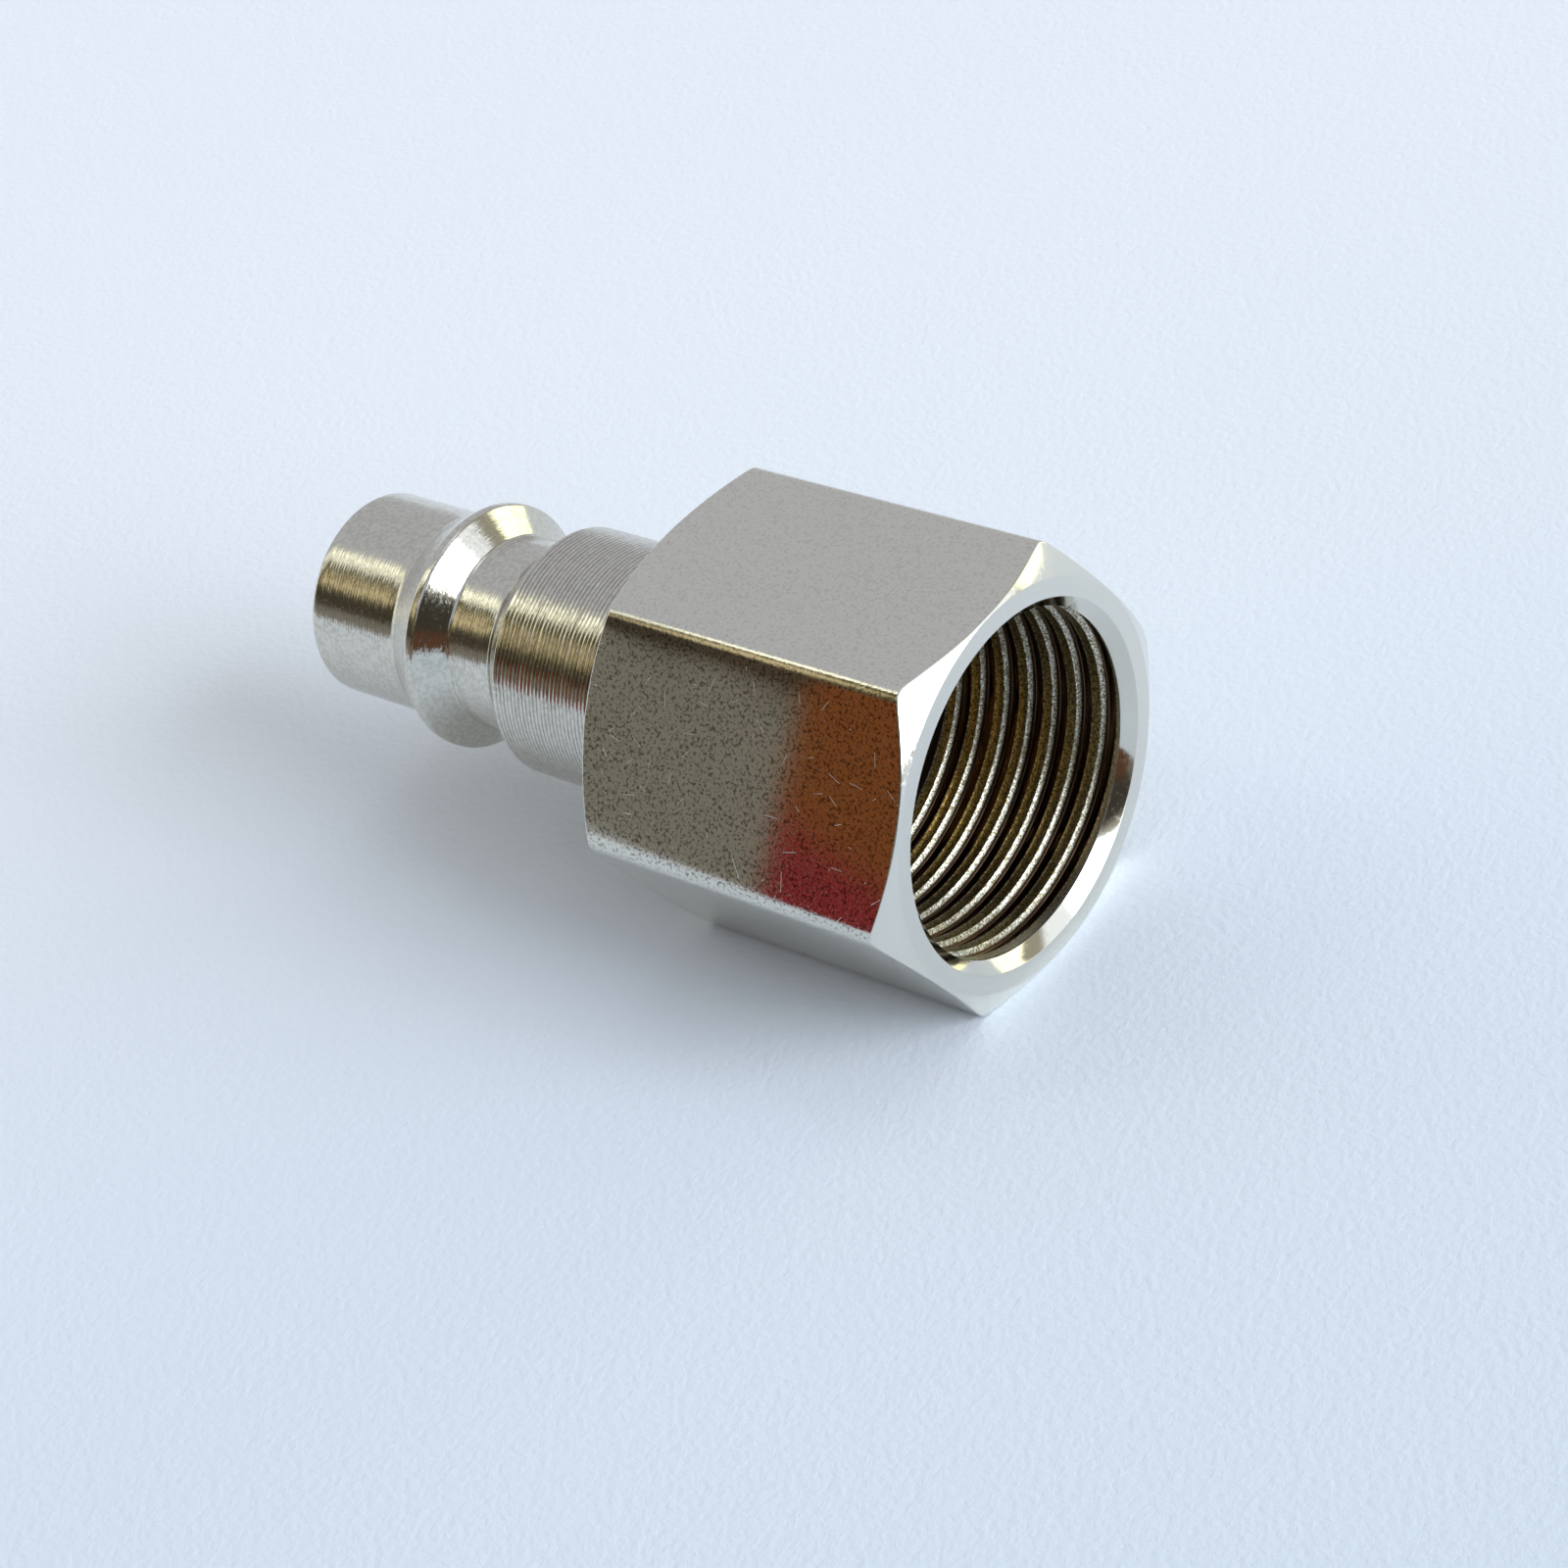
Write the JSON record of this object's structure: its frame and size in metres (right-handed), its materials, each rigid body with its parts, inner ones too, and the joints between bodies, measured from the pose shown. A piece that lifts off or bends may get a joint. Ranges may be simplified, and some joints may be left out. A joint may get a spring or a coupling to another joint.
{
  "type": "quick disconnect plug",
  "caption": "Male half of a quick disconnect air coupling: hexagonal body with a threaded port, stepped plug nose with a locking groove, and a spring-loaded shut-off valve.",
  "frame": {"origin": "centre of the threaded port's flat end face", "axes": "+X out of the threaded port, the plug nose points along -X, +Z is the normal of the hexagon's top flat"},
  "size_m": [0.0387, 0.0218, 0.019],
  "materials": {
    "body_metal": "nickel-plated steel, ground flats with a fine grain",
    "nose_metal": "nickel-plated steel with fine turning marks",
    "seal_rubber": "black nitrile rubber",
    "valve_brass": "turned brass",
    "spring_steel": "drawn stainless wire",
    "ring_steel": "phosphated spring steel"
  },
  "bodies": {
    "plug": {"hex_body": "body_metal", "plug_nose": "nose_metal", "body_seal": "seal_rubber", "valve_spring": "spring_steel", "spring_seat": "valve_brass", "retaining_ring": "ring_steel"},
    "valve": {"poppet": "valve_brass", "poppet_seal": "seal_rubber"}
  },
  "joints": [
    {"name": "valve_slide", "type": "slide", "parent": "plug", "child": "valve", "axis": [1, 0, 0], "range_m": [0, 0.003], "stiffness_N_per_m": 900, "springref_m": -0.002, "deforming": ["valve_spring"]}
  ]
}
